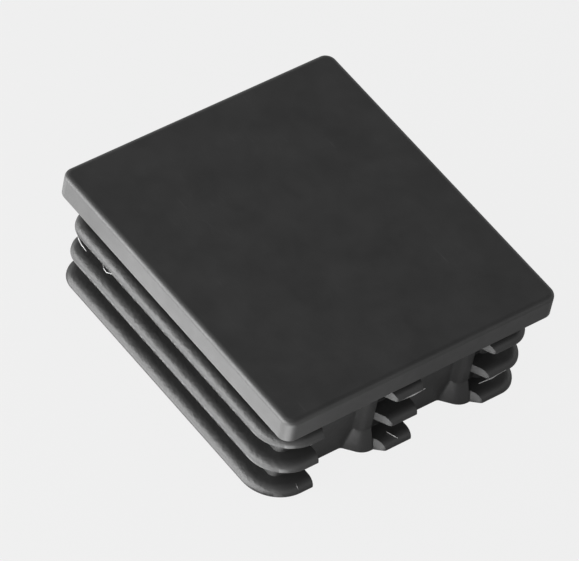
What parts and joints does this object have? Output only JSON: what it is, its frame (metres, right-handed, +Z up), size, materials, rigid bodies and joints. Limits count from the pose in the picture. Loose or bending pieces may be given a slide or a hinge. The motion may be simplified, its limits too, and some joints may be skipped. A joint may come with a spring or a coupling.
{
  "type": "tube end cap",
  "caption": "Rectangular tube end cap: a flat plate with rounded edges over a hollow plug that carries tiers of flexible gripping fins.",
  "frame": {"origin": "centre of the plug's open rim, on the surface that the cap stands on", "axes": "+X along the tube's long side, +Y along its short side, +Z up through the plate"},
  "size_m": [0.062, 0.0554, 0.0233],
  "materials": {
    "black_plastic": "satin black moulded polyethylene, lightly textured"
  },
  "bodies": {
    "root": {"end_cap": "black_plastic"}
  },
  "joints": []
}
